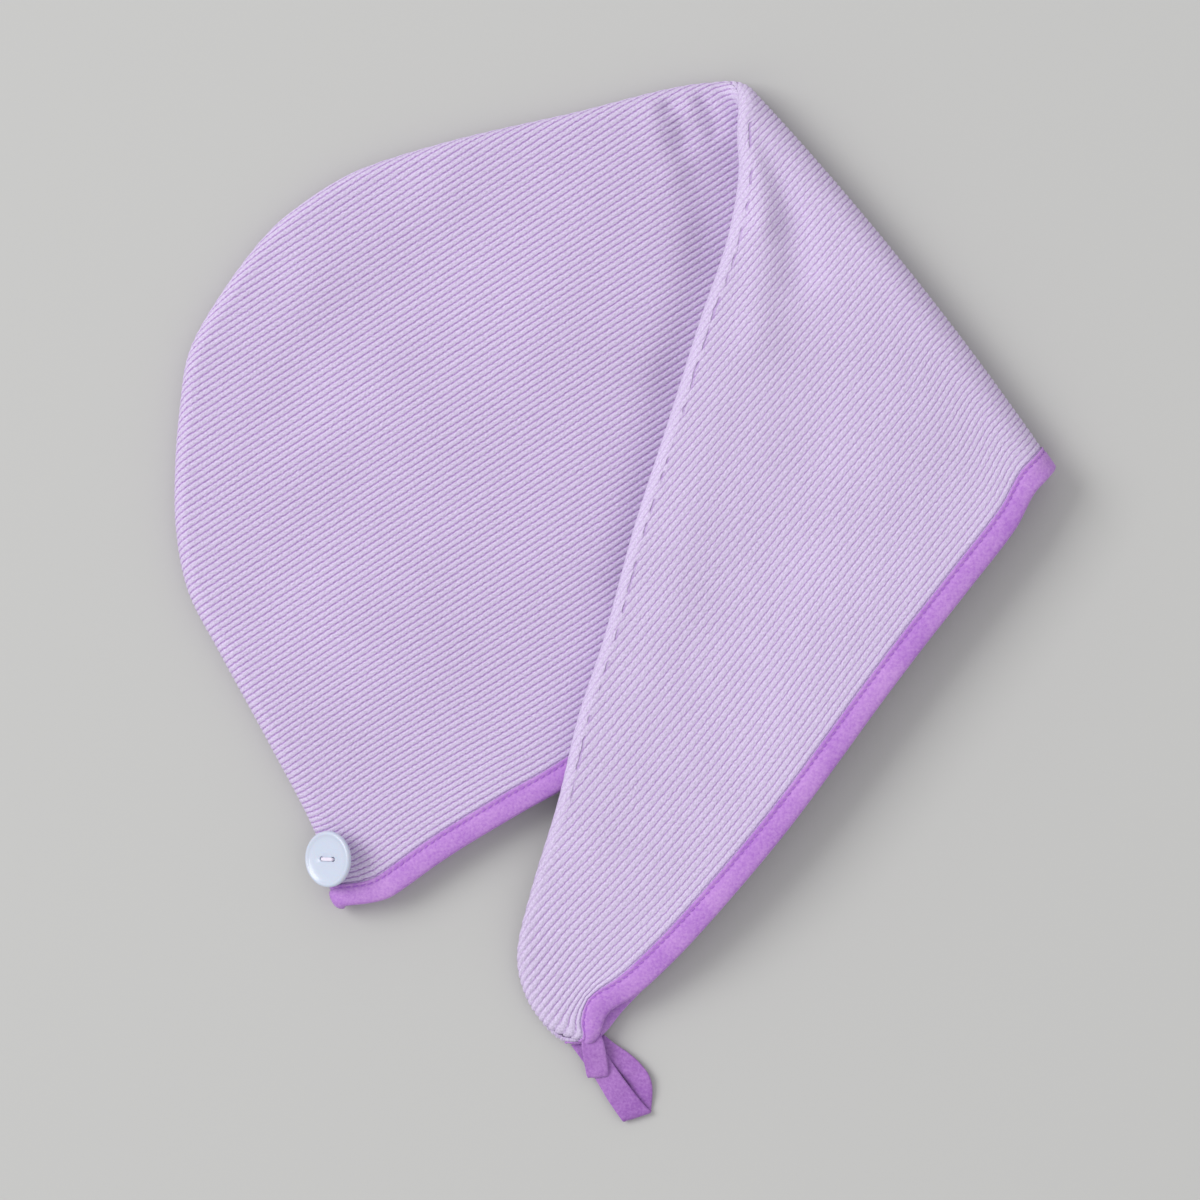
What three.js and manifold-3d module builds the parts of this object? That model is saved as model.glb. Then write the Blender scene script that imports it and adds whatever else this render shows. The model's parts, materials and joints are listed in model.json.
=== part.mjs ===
// Hair turban towel laid flat: two ribbed cloth panels joined along a curved seam, their opening
// edges bound in tape, the long tail folded over to the front, a tape loop at its tip and a
// two-hole button at the other corner. Millimetres, +Z up, the towel lies on the plane z = 0.

import * as THREE from 'three';
import { mergeVertices } from 'three/addons/utils/BufferGeometryUtils.js';
import Module from 'manifold-3d';

const wasm = await Module();
wasm.setup();

// Named sizes of the laid towel
const CAP_RUN = 322;          // button corner to the start of the folded edge
const TAIL_RUN = 288;         // end of the folded edge to the furthest point of the tail
const CROWN_RISE = 274;       // crown above the opening end of the folded edge
const FOLD_ANGLE = 128.9;     // direction of the folded edge, degrees from +X
const FOLD_BOW = 4.4;         // outward bulge of the folded edge at its middle
const ROLL_RADIUS = 6.5;      // middle of the cloth pair as it turns over
const HALF_CAP = 6.2;         // half the thickness of the laid cap
const CLOTH = 2.2;            // thickness of one panel
const BOUND_CLOTH = 1.4;      // one panel pressed between the two sides of the tape
const SEAM_GAP = 0.3;         // space between neighbouring pieces
const TAPE_LAP = 9;           // tape from its outer edge to its sewn edge
const TAPE_WALL = 0.8;        // one layer of tape
const LOOP_WIDTH = 9.6;
const LOOP_THICK = 1.6;
const LOOP_REACH = 34.5;
const LOOP_HEADING = -59;     // the way the loop points, degrees from +X
const BUTTON_DIAMETER = 22.6;
const BUTTON_THICK = 3.4;
const BUTTON_TILT = 35;       // degrees, outward over the seam
const BUTTON_HOLE = 2.4;
const HOLE_SPACING = 5.7;
const THREAD = 1.1;

// Steps of the faceted surfaces
const CAP_ROWS = 30;
const ROLL_ROWS = 8;
const TAIL_ROWS = 22;
const EDGE_STEPS = 4;
const LAID_LEVELS = [24, 42];
const INNER_STEPS = 3;
const LOOP_ROWS = 42;

// Seam outline of one opened panel, from the button corner over the crown to the tip.
// run: share of CAP_RUN before the fold (negative) or of TAIL_RUN after it; up: share of CROWN_RISE.
const SEAM = [
  { run: -0.997, up: 0.170 },
  { run: -0.966, up: 0.273 },
  { run: -0.941, up: 0.417 },
  { run: -0.918, up: 0.565 },
  { run: -0.901, up: 0.661 },
  { run: -0.866, up: 0.740 },
  { run: -0.820, up: 0.810 },
  { run: -0.769, up: 0.874 },
  { run: -0.713, up: 0.933 },
  { run: -0.634, up: 0.971 },
  { run: -0.543, up: 0.997 },
  { run: -0.485, up: 0.999 },
  { run: -0.415, up: 0.988 },
  { run: -0.302, up: 0.938 },
  { run: -0.156, up: 0.855 },
  { run: -0.003, up: 0.767 },
  { run: 0.016, up: 0.683 },
  { run: 0.059, up: 0.628 },
  { run: 0.127, up: 0.567 },
  { run: 0.230, up: 0.497 },
  { run: 0.354, up: 0.408 },
  { run: 0.467, up: 0.328 },
  { run: 0.598, up: 0.227 },
  { run: 0.693, up: 0.162 },
  { run: 0.788, up: 0.085 },
  { run: 0.898, up: 0.006 },
  { run: 0.965, up: -0.050 },
  { run: 0.988, up: -0.087 },
  { run: 1.000, up: -0.133 },
  { run: 0.995, up: -0.194 },
  { run: 0.970, up: -0.216 },
  { run: 0.947, up: -0.231 },
];

// Opening edge of one panel in the same shares.
const OPENING = [
  { run: -0.985, up: 0.154 },
  { run: -0.937, up: 0.131 },
  { run: -0.867, up: 0.126 },
  { run: -0.744, up: 0.107 },
  { run: -0.695, up: 0.097 },
  { run: 0.000, up: 0.004 },
  { run: 0.060, up: -0.021 },
  { run: 0.160, up: -0.046 },
  { run: 0.268, up: -0.072 },
  { run: 0.366, up: -0.098 },
  { run: 0.464, up: -0.126 },
  { run: 0.565, up: -0.153 },
  { run: 0.671, up: -0.176 },
  { run: 0.782, up: -0.196 },
  { run: 0.901, up: -0.211 },
  { run: 0.934, up: -0.219 },
];

// Half thickness of the laid cloth pair in shares of HALF_CAP (puff), and how much
// further the two layers stand apart at the opening edge (gape).
const LAID = [
  { run: -1.00, puff: 0.80, gape: 0.00 },
  { run: -0.85, puff: 0.93, gape: 0.02 },
  { run: -0.70, puff: 0.94, gape: 0.00 },
  { run: -0.50, puff: 0.85, gape: 0.00 },
  { run: -0.20, puff: 0.79, gape: 0.00 },
  { run: 0.00, puff: 0.71, gape: 0.00 },
  { run: 0.08, puff: 0.71, gape: 0.02 },
  { run: 0.22, puff: 0.78, gape: 0.14 },
  { run: 0.68, puff: 0.78, gape: 0.14 },
  { run: 0.85, puff: 0.62, gape: 0.04 },
  { run: 1.00, puff: 0.47, gape: 0.00 },
];

// Height of the middle of the tail over the table in shares of its height at the fold,
// along its opening edge and along its seam.
const TAIL_HEIGHT = [
  { run: 0.00, atOpening: 1.00, atSeam: 1.00 },
  { run: 0.15, atOpening: 1.03, atSeam: 1.01 },
  { run: 0.36, atOpening: 1.05, atSeam: 1.03 },
  { run: 0.58, atOpening: 1.02, atSeam: 1.06 },
  { run: 0.76, atOpening: 0.80, atSeam: 1.09 },
  { run: 0.88, atOpening: 0.46, atSeam: 0.66 },
  { run: 1.00, atOpening: 0.20, atSeam: 0.22 },
];

// Sizes worked out from the named ones
const half = SEAM_GAP / 2;
const strip = Math.PI * ROLL_RADIUS;
const tapeHalf = BOUND_CLOTH / 2 + SEAM_GAP + TAPE_WALL;
const lift = tapeHalf - CLOTH / 2 + 0.1;
const thinLevel = TAPE_LAP + 0.4;
const thickLevel = TAPE_LAP + 0.8;
const turn = THREE.MathUtils.degToRad(FOLD_ANGLE);
const alongFold = new THREE.Vector3(Math.cos(turn), Math.sin(turn), 0);
const outOfFold = new THREE.Vector3(Math.sin(turn), -Math.cos(turn), 0);
const upright = new THREE.Vector3(0, 0, 1);

const runAt = (share) => (share < 0 ? share * CAP_RUN : strip + share * TAIL_RUN);
const shareAt = (run) => {
  if (run <= 0) return run / CAP_RUN;
  return run < strip ? 0 : (run - strip) / TAIL_RUN;
};
const ease = (x) => {
  const t = THREE.MathUtils.clamp(x, 0, 1);
  return t * t * (3 - 2 * t);
};

// Smooth curve through the rows of a table, read at x
function readTable(xs, ys, x) {
  const last = xs.length - 1;
  if (x <= xs[0]) return ys[0] + (x - xs[0]) * (ys[1] - ys[0]) / (xs[1] - xs[0]);
  if (x >= xs[last]) {
    return ys[last] + (x - xs[last]) * (ys[last] - ys[last - 1]) / (xs[last] - xs[last - 1]);
  }
  let i = 0;
  while (xs[i + 1] < x) i += 1;
  const slope = (k) => {
    if (k <= 0 || k >= last) return (ys[Math.min(k + 1, last)] - ys[Math.max(k - 1, 0)])
      / (xs[Math.min(k + 1, last)] - xs[Math.max(k - 1, 0)]);
    const before = (ys[k] - ys[k - 1]) / (xs[k] - xs[k - 1]);
    const after = (ys[k + 1] - ys[k]) / (xs[k + 1] - xs[k]);
    return before * after <= 0 ? 0 : 2 * before * after / (before + after);
  };
  const h = xs[i + 1] - xs[i];
  const t = (x - xs[i]) / h;
  const a = (1 + 2 * t) * (1 - t) * (1 - t);
  const b = t * (1 - t) * (1 - t);
  const c = t * t * (3 - 2 * t);
  const d = t * t * (t - 1);
  return a * ys[i] + b * h * slope(i) + c * ys[i + 1] + d * h * slope(i + 1);
}
const column = (table, key) => table.map((row) => row[key]);
const laidAt = (key, run) => readTable(column(LAID, 'run'), column(LAID, key), shareAt(run));

// Half the thickness of the cloth pair where it turns over, and the middle of the tail there
const halfFold = HALF_CAP * laidAt('puff', 0);
const foldTop = halfFold + 2 * ROLL_RADIUS;

const openingRuns = OPENING.map((row) => runAt(row.run));
const openingUps = OPENING.map((row) => row.up * CROWN_RISE);
const openingUp = (run) => readTable(openingRuns, openingUps, run);
const level = (p) => p.y - openingUp(p.x);

// Opened panel: x is the run across the fold, y is the distance along the fold
const seamCurve = new THREE.CatmullRomCurve3(
  SEAM.map((row) => new THREE.Vector3(runAt(row.run), row.up * CROWN_RISE, 0)),
  false,
  'centripetal',
);
seamCurve.arcLengthDivisions = 800;
const seamDots = seamCurve.getSpacedPoints(300);
const foldLength = seamDots.reduce((top, q) => (q.x < 0 ? q.y : top), 0);

function seamDistance(p) {
  let best = Infinity;
  for (const q of seamDots) best = Math.min(best, Math.hypot(q.x - p.x, q.y - p.y));
  return best;
}

// Inward direction of the seam, turned at both corners to run along the opening edge
function inward(u) {
  const t = seamCurve.getTangentAt(THREE.MathUtils.clamp(u, 0, 1));
  const normal = new THREE.Vector3(t.y, -t.x, 0);
  const first = new THREE.Vector3(0.8, -0.6, 0);
  const last = new THREE.Vector3(-0.77, 0.64, 0);
  const near = ease(1 - u / 0.02);
  const far = ease(1 - (1 - u) / 0.02);
  return normal.multiplyScalar(1 - near - far)
    .addScaledVector(first, near)
    .addScaledVector(last, far)
    .normalize();
}

const halfAt = (run) => HALF_CAP * laidAt('puff', run);
function halfThickness(p) {
  const gape = HALF_CAP * laidAt('gape', p.x) * ease(1 - level(p) / 45);
  return halfAt(p.x) + gape * ease(seamDistance(p) / 30);
}

// Where the seam edge starts to round over
function shoulder(u) {
  const c = seamCurve.getPointAt(THREE.MathUtils.clamp(u, 0, 1));
  const m = inward(u);
  const r = halfAt(c.x + m.x * 4) - half;
  return { point: c.clone().addScaledVector(m, r), out: m.clone().negate() };
}

// Lays a point of the opened panel on the table, rolled over at the fold
function lay(p) {
  const bow = FOLD_BOW * 4 * (p.y / foldLength) * (1 - p.y / foldLength);
  const nearFold = ease(1 - Math.abs(p.x - strip / 2) / (CAP_RUN * 0.6));
  const sides = { f: alongFold };
  const rise = lift * ease(1 - level(p) / LAID_LEVELS[1]);
  let g = -ROLL_RADIUS - halfFold + Math.max(0, bow) * nearFold;
  let z = halfThickness(p) + rise;
  if (p.x <= 0) {
    g += p.x;
    sides.g = outOfFold.clone();
    sides.n = upright.clone();
  } else if (p.x < strip) {
    const phi = p.x / ROLL_RADIUS;
    g += ROLL_RADIUS * Math.sin(phi);
    z = halfFold + rise + ROLL_RADIUS * (1 - Math.cos(phi));
    sides.g = outOfFold.clone().multiplyScalar(Math.cos(phi)).addScaledVector(upright, Math.sin(phi));
    sides.n = upright.clone().multiplyScalar(Math.cos(phi)).addScaledVector(outOfFold, -Math.sin(phi));
  } else {
    const share = shareAt(p.x);
    const v = Math.max(0, level(p));
    const across = v / (v + seamDistance(p) + 0.01);
    const runs = column(TAIL_HEIGHT, 'run');
    const low = readTable(runs, column(TAIL_HEIGHT, 'atOpening'), share);
    const high = readTable(runs, column(TAIL_HEIGHT, 'atSeam'), share);
    g -= p.x - strip;
    z = foldTop * (low + (high - low) * ease(across)) + rise * ease(1 - share * 4);
    sides.g = outOfFold.clone().negate();
    sides.n = upright.clone().negate();
  }
  sides.at = alongFold.clone().multiplyScalar(p.y).addScaledVector(outOfFold, g);
  sides.at.z = z;
  return sides;
}

// Seam positions of the rows of facets, with the end of the tape on a row at both corners
function seamAtLevel(wanted, from, to) {
  let a = from;
  let b = to;
  for (let i = 0; i < 40; i += 1) {
    const mid = (a + b) / 2;
    if (level(shoulder(mid).point) < wanted) a = mid;
    else b = mid;
  }
  return (a + b) / 2;
}
function seamAtRun(wanted) {
  let a = 0.3;
  let b = 0.8;
  for (let i = 0; i < 40; i += 1) {
    const mid = (a + b) / 2;
    if (shoulder(mid).point.x < wanted) a = mid;
    else b = mid;
  }
  return (a + b) / 2;
}

const tapeEnds = {
  thinFirst: seamAtLevel(thinLevel, 0, 0.1),
  thickFirst: seamAtLevel(thickLevel, 0, 0.1),
  thickLast: seamAtLevel(thickLevel, 1, 0.93),
  thinLast: seamAtLevel(thinLevel, 1, 0.93),
};
const firstShoulder = shoulder(0).point;
const lastShoulder = shoulder(1).point;
const onOpening = (run) => new THREE.Vector3(run, openingUp(run), 0);

const rows = [];
const addRow = (seam, start) => rows.push({ seam, start, ...shoulder(seam) });
addRow(0, firstShoulder);
addRow(tapeEnds.thinFirst, onOpening(firstShoulder.x + 4));
addRow(tapeEnds.thickFirst, onOpening(firstShoulder.x + 8));
const capStart = firstShoulder.x + 8;
const foldSeam = seamAtRun(0);
for (let i = 1; i <= CAP_ROWS; i += 1) {
  const share = i / CAP_ROWS;
  const seam = tapeEnds.thickFirst + (foldSeam - tapeEnds.thickFirst) * share;
  addRow(seam, onOpening(capStart * (1 - share)));
}
for (let i = 1; i <= ROLL_ROWS; i += 1) {
  const run = strip * i / ROLL_ROWS;
  addRow(seamAtRun(run), onOpening(run));
}
const tailSeam = seamAtRun(strip);
const tailEnd = lastShoulder.x - 7;
for (let i = 1; i <= TAIL_ROWS; i += 1) {
  const share = 1 - Math.pow(1 - i / TAIL_ROWS, 1.25);
  const seam = tailSeam + (tapeEnds.thickLast - tailSeam) * share;
  addRow(seam, onOpening(strip + (tailEnd - strip) * share));
}
addRow(tapeEnds.thinLast, onOpening(lastShoulder.x - 3.5));
addRow(1, lastShoulder);

// Opened-panel points of one row, from the opening edge to where the seam edge rounds over.
// The first two lie under the tape.
function rowPoints(row) {
  const end = Math.max(0, level(row.point));
  const stops = [0, thinLevel, thickLevel, ...LAID_LEVELS];
  const top = stops[stops.length - 1];
  for (let k = 1; k <= INNER_STEPS; k += 1) stops.push(top + (end - top) * k / INNER_STEPS);
  return stops.map((stop, k) => {
    const share = end < 1e-6 ? 1 : Math.min(1, stop / end);
    const isLast = k === stops.length - 1 || end - stop < 0.05;
    return isLast ? row.point.clone() : row.start.clone().lerp(row.point, share);
  });
}

// One panel: side 1 is the upper one, side -1 the lower one. Offsets count from its own middle.
function clothSpot(side, p, offset) {
  const { at, n } = lay(p);
  return at.clone().addScaledVector(n, side * (halfThickness(p) - CLOTH / 2 + offset));
}
function rimSpot(side, row, share, offset) {
  const { at, f, g, n } = lay(row.point);
  const radius = halfThickness(row.point) - CLOTH / 2 + offset - half;
  const turned = share * Math.PI / 2;
  const out = f.clone().multiplyScalar(row.out.y).addScaledVector(g, row.out.x);
  return at.clone()
    .addScaledVector(out, radius * Math.sin(turned))
    .addScaledVector(n, side * (half + radius * Math.cos(turned)));
}

function solidFrom(points, triangles, flip) {
  const geometry = new THREE.BufferGeometry();
  const flat = points.flatMap((p) => [p.x, p.y, p.z]);
  geometry.setAttribute('position', new THREE.Float32BufferAttribute(flat, 3));
  geometry.setIndex(triangles.flatMap(([a, b, c]) => (flip ? [a, c, b] : [a, b, c])));
  const welded = mergeVertices(geometry, 1e-3);
  const kept = [];
  const index = welded.index.array;
  for (let i = 0; i < index.length; i += 3) {
    const [a, b, c] = [index[i], index[i + 1], index[i + 2]];
    if (a !== b && b !== c && c !== a) kept.push(a, b, c);
  }
  welded.setIndex(kept);
  return welded;
}

function panel(side) {
  const grid = { outer: [], inner: [] };
  for (const row of rows) {
    const laid = rowPoints(row);
    const outer = [];
    const inner = [];
    const taped = level(row.point) < (thinLevel + thickLevel) / 2;
    laid.forEach((p, k) => {
      const thick = taped || k < 2 ? BOUND_CLOTH / 2 : CLOTH / 2;
      outer.push(clothSpot(side, p, thick));
      inner.push(clothSpot(side, p, -thick));
    });
    const thick = taped ? BOUND_CLOTH / 2 : CLOTH / 2;
    for (let k = 1; k <= EDGE_STEPS; k += 1) {
      outer.push(rimSpot(side, row, k / EDGE_STEPS, thick));
      inner.push(rimSpot(side, row, k / EDGE_STEPS, -thick));
    }
    grid.outer.push(outer);
    grid.inner.push(inner);
  }
  const wide = grid.outer[0].length;
  const tall = grid.outer.length;
  const points = [...grid.outer.flat(), ...grid.inner.flat()];
  const outerAt = (i, j) => i * wide + j;
  const innerAt = (i, j) => tall * wide + i * wide + j;
  const triangles = [];
  const quad = (a, b, c, d) => triangles.push([a, b, c], [a, c, d]);
  for (let i = 0; i < tall - 1; i += 1) {
    for (let j = 0; j < wide - 1; j += 1) {
      const corner = (i === 0 || i === tall - 2) && j >= wide - 1 - EDGE_STEPS;
      if (corner) {
        quad(outerAt(i + 1, j), outerAt(i + 1, j + 1), outerAt(i, j + 1), outerAt(i, j));
        quad(innerAt(i, j + 1), innerAt(i + 1, j + 1), innerAt(i + 1, j), innerAt(i, j));
      } else {
        quad(outerAt(i, j), outerAt(i + 1, j), outerAt(i + 1, j + 1), outerAt(i, j + 1));
        quad(innerAt(i, j), innerAt(i, j + 1), innerAt(i + 1, j + 1), innerAt(i + 1, j));
      }
    }
    quad(outerAt(i, 0), innerAt(i, 0), innerAt(i + 1, 0), outerAt(i + 1, 0));
    quad(outerAt(i, wide - 1), outerAt(i + 1, wide - 1), innerAt(i + 1, wide - 1), innerAt(i, wide - 1));
  }
  for (let j = 0; j < wide - 1; j += 1) {
    quad(outerAt(0, j), outerAt(0, j + 1), innerAt(0, j + 1), innerAt(0, j));
    quad(outerAt(tall - 1, j), innerAt(tall - 1, j), innerAt(tall - 1, j + 1), outerAt(tall - 1, j + 1));
  }
  return solidFrom(points, triangles, side < 0);
}

// Tape folded over the opening edge of one panel, from corner to corner
function binding(side) {
  const wall = BOUND_CLOTH / 2 + SEAM_GAP;
  const outer = wall + TAPE_WALL;
  const lip = SEAM_GAP + TAPE_WALL;
  const section = [
    [-lip, -wall], [-lip, wall], [-lip + 0.7, outer], [TAPE_LAP, outer], [TAPE_LAP, wall],
    [-SEAM_GAP, wall], [-SEAM_GAP, -wall], [TAPE_LAP, -wall], [TAPE_LAP, -outer], [-lip + 0.7, -outer],
  ];
  const stations = [];
  const last = rows.length - 1;
  const rimStation = (edge, next, share) => stations.push((offset) => [
    rimSpot(side, rows[edge], share, offset),
    rimSpot(side, rows[next], share, offset),
  ]);
  for (let k = EDGE_STEPS; k >= 1; k -= 1) rimStation(0, 1, k / EDGE_STEPS);
  for (let i = 0; i <= last; i += 1) {
    const inner = i === 0 ? rows[1].point : i === last ? rows[last - 1].point : rowPoints(rows[i])[1];
    const start = rows[i].start;
    stations.push((offset) => [clothSpot(side, start, offset), clothSpot(side, inner, offset)]);
  }
  for (let k = 1; k <= EDGE_STEPS; k += 1) rimStation(last, last - 1, k / EDGE_STEPS);
  const rings = stations.map((spots) => section.map(([up, offset]) => {
    const [edge, inner] = spots(offset);
    return edge.lerp(inner, up / thinLevel);
  }));
  const downward = section.map(([up], j) => section[(j + 1) % section.length][0] < up);
  return sweep(rings, side > 0, downward);
}

// Closed solid through rings of equal length, with flat ends. The walls named in otherWay are
// split along their other diagonal.
function sweep(rings, flip, otherWay = []) {
  const count = rings[0].length;
  const points = rings.flat();
  const triangles = [];
  for (let i = 0; i < rings.length - 1; i += 1) {
    for (let j = 0; j < count; j += 1) {
      const a = i * count + j;
      const b = i * count + (j + 1) % count;
      if (otherWay[j]) triangles.push([a, b, a + count], [b, b + count, a + count]);
      else triangles.push([a, b, b + count], [a, b + count, a + count]);
    }
  }
  const close = (ring, start, sameTurn) => {
    const x = ring[3].clone().sub(ring[0]).normalize();
    const z = new THREE.Vector3().crossVectors(x, ring[1].clone().sub(ring[0])).normalize();
    const y = new THREE.Vector3().crossVectors(z, x);
    const flat = ring.map((p) => new THREE.Vector2(p.dot(x), p.dot(y)));
    const around = THREE.ShapeUtils.area(flat) > 0;
    for (const face of THREE.ShapeUtils.triangulateShape(flat, [])) {
      const turns = THREE.ShapeUtils.area(face.map((k) => flat[k])) > 0;
      const kept = (turns === around) === sameTurn ? face : [...face].reverse();
      triangles.push(kept.map((k) => k + start));
    }
  };
  close(rings[0], 0, false);
  close(rings[rings.length - 1], points.length - count, true);
  return solidFrom(points, triangles, flip);
}

// Round cord through given points
function cord(path, diameter, sides) {
  const curve = new THREE.CatmullRomCurve3(path, false, 'centripetal');
  const steps = path.length * 3;
  const frames = curve.computeFrenetFrames(steps, false);
  const rings = [];
  for (let i = 0; i <= steps; i += 1) {
    const at = curve.getPointAt(i / steps);
    rings.push(Array.from({ length: sides }, (unused, k) => {
      const turned = 2 * Math.PI * k / sides;
      return at.clone()
        .addScaledVector(frames.normals[i], Math.cos(turned) * diameter / 2)
        .addScaledVector(frames.binormals[i], Math.sin(turned) * diameter / 2);
    }));
  }
  return sweep(rings, false);
}

// Button sewn over the seam at the opening corner, leaning outward
const buttonSeat = shoulder(seamAtLevel(BUTTON_DIAMETER * 0.94, 0, 0.2)).point;
const buttonLean = new THREE.Vector3(-Math.sin(THREE.MathUtils.degToRad(BUTTON_TILT)), 0,
  Math.cos(THREE.MathUtils.degToRad(BUTTON_TILT)));
const buttonAcross = new THREE.Vector3(buttonLean.z, 0, -buttonLean.x);
const buttonAt = lay(buttonSeat).at.clone()
  .addScaledVector(buttonLean, halfAt(buttonSeat.x) + BUTTON_THICK / 2 + 1.6)
  .addScaledVector(buttonAcross, BUTTON_DIAMETER * 0.17);
const buttonPlace = new THREE.Matrix4()
  .makeBasis(buttonAcross, new THREE.Vector3(0, 1, 0), buttonLean)
  .setPosition(buttonAt);

function toManifold(geometry) {
  const plain = geometry.clone();
  plain.deleteAttribute('normal');
  plain.deleteAttribute('uv');
  const welded = mergeVertices(plain, 1e-4);
  return new wasm.Manifold(new wasm.Mesh({
    numProp: 3,
    vertProperties: Float32Array.from(welded.attributes.position.array),
    triVerts: Uint32Array.from(welded.index.array),
  }));
}
function fromManifold(solid) {
  const mesh = solid.getMesh();
  const geometry = new THREE.BufferGeometry();
  geometry.setAttribute('position', new THREE.BufferAttribute(mesh.vertProperties, 3));
  geometry.setIndex(new THREE.BufferAttribute(mesh.triVerts, 1));
  return geometry;
}

function button() {
  const r = BUTTON_DIAMETER / 2;
  const t = BUTTON_THICK / 2;
  const profile = [
    [0, -t], [r * 0.62, -t], [r * 0.9, -t * 0.55], [r, 0], [r * 0.97, t * 0.6], [r * 0.9, t],
    [r * 0.8, t * 0.95], [r * 0.68, t * 0.4], [r * 0.5, t * 0.25], [0, t * 0.25],
  ].map(([x, y]) => new THREE.Vector2(x, y));
  const disc = new THREE.LatheGeometry(profile, 36);
  disc.rotateX(Math.PI / 2);
  let solid = toManifold(disc);
  for (const x of [-1, 1]) {
    const drill = new THREE.CylinderGeometry(BUTTON_HOLE / 2, BUTTON_HOLE / 2, BUTTON_THICK * 2, 16);
    drill.rotateX(Math.PI / 2);
    drill.translate(x * HOLE_SPACING / 2, 0, 0);
    solid = solid.subtract(toManifold(drill));
  }
  return fromManifold(solid).applyMatrix4(buttonPlace);
}

// Sewing thread over the bar between the holes, down through both holes to the cloth
function buttonThread() {
  const side = HOLE_SPACING / 2;
  const top = BUTTON_THICK * 0.125 + THREAD / 2 + 0.25;
  const under = -BUTTON_THICK / 2 - 0.55;
  const path = [
    [-side, under], [-side, under * 0.4], [-side, top - 0.6], [-side * 0.6, top],
    [side * 0.6, top], [side, top - 0.6], [side, under * 0.4], [side, under],
  ].map(([x, z]) => new THREE.Vector3(x, 0, z));
  return cord(path, THREAD, 10).applyMatrix4(buttonPlace);
}

// Loop of flat tape at the tip, folded over at its far end: the upper strand runs out and the
// lower one comes back beside it. along and across: shares of LOOP_REACH from the tip;
// height: middle of the tape in shares of LOOP_THICK; skew: turn of its width, degrees.
const LOOP = [
  { along: 0.000, across: 0.000, height: 2.55, skew: -22 },
  { along: 0.150, across: 0.000, height: 2.50, skew: -12 },
  { along: 0.340, across: 0.005, height: 2.46, skew: 0 },
  { along: 0.570, across: 0.020, height: 2.46, skew: 0 },
  { along: 0.800, across: 0.035, height: 2.46, skew: -4 },
  { along: 0.930, across: 0.070, height: 2.44, skew: -8 },
  { along: 0.985, across: 0.097, height: 2.22, skew: -10 },
  { along: 1.015, across: 0.114, height: 1.50, skew: -10 },
  { along: 0.985, across: 0.128, height: 0.78, skew: -10 },
  { along: 0.930, across: 0.180, height: 0.56, skew: -14 },
  { along: 0.820, across: 0.260, height: 0.56, skew: -18 },
  { along: 0.700, across: 0.310, height: 0.56, skew: -10 },
  { along: 0.540, across: 0.305, height: 0.56, skew: 4 },
  { along: 0.360, across: 0.240, height: 0.56, skew: 20 },
  { along: 0.230, across: 0.170, height: 0.56, skew: 30 },
];

function loop() {
  const heading = THREE.MathUtils.degToRad(LOOP_HEADING);
  const along = new THREE.Vector3(Math.cos(heading), Math.sin(heading), 0);
  const across = new THREE.Vector3(-Math.sin(heading), Math.cos(heading), 0);
  const tipRow = rows[rows.length - 2];
  const { at, f, g } = lay(tipRow.point);
  const out = f.clone().multiplyScalar(tipRow.out.y).addScaledVector(g, tipRow.out.x);
  const clear = halfAt(tipRow.point.x) + tapeHalf - CLOTH / 2 + SEAM_GAP * 0.6;
  const start = at.clone().addScaledVector(out, clear)
    .addScaledVector(across, LOOP_WIDTH * 0.58)
    .addScaledVector(along, LOOP_WIDTH * 0.26)
    .setZ(0);
  const centres = new THREE.CatmullRomCurve3(LOOP.map((row) => start.clone()
    .addScaledVector(along, row.along * LOOP_REACH)
    .addScaledVector(across, row.across * LOOP_REACH)
    .setZ(row.height * LOOP_THICK)), false, 'centripetal');
  const knots = LOOP.map((row, k) => k / (LOOP.length - 1));
  const w = LOOP_WIDTH / 2;
  const h = LOOP_THICK / 2;
  const section = [[-w, -h / 2], [-w + h, -h], [w - h, -h], [w, -h / 2], [w, h / 2], [w - h, h],
    [-w + h, h], [-w, h / 2]];
  const rings = [];
  for (let i = 0; i <= LOOP_ROWS; i += 1) {
    const t = i / LOOP_ROWS;
    const middle = centres.getPoint(t);
    const skew = THREE.MathUtils.degToRad(readTable(knots, column(LOOP, 'skew'), t));
    const wide = across.clone().multiplyScalar(Math.cos(skew)).addScaledVector(along, -Math.sin(skew));
    const thick = new THREE.Vector3().crossVectors(centres.getTangent(t), wide).normalize();
    rings.push(section.map(([x, y]) => middle.clone().addScaledVector(wide, x).addScaledVector(thick, y)));
  }
  return sweep(rings, false);
}

const CLOTH_COLOUR = '#d3c1e8';
const TAPE_COLOUR = '#b987dd';
const BUTTON_COLOUR = '#d2dae9';
const THREAD_COLOUR = '#e4e0ee';

const towel = new THREE.Group();
towel.name = 'hair_turban_towel';
function addPiece(name, geometry, colour, roughness) {
  const shaded = geometry.index ? geometry : mergeVertices(geometry, 1e-4);
  shaded.computeVertexNormals();
  const material = new THREE.MeshStandardMaterial({ color: colour, roughness, metalness: 0 });
  material.name = name;
  const mesh = new THREE.Mesh(shaded, material);
  mesh.name = name;
  towel.add(mesh);
}

addPiece('panel_lower', panel(-1), CLOTH_COLOUR, 0.95);
addPiece('panel_upper', panel(1), CLOTH_COLOUR, 0.95);
addPiece('edge_binding_lower', binding(-1), TAPE_COLOUR, 0.9);
addPiece('edge_binding_upper', binding(1), TAPE_COLOUR, 0.9);
addPiece('tip_loop', loop(), TAPE_COLOUR, 0.9);
addPiece('button', button(), BUTTON_COLOUR, 0.3);
addPiece('button_thread', buttonThread(), THREAD_COLOUR, 0.8);

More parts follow.
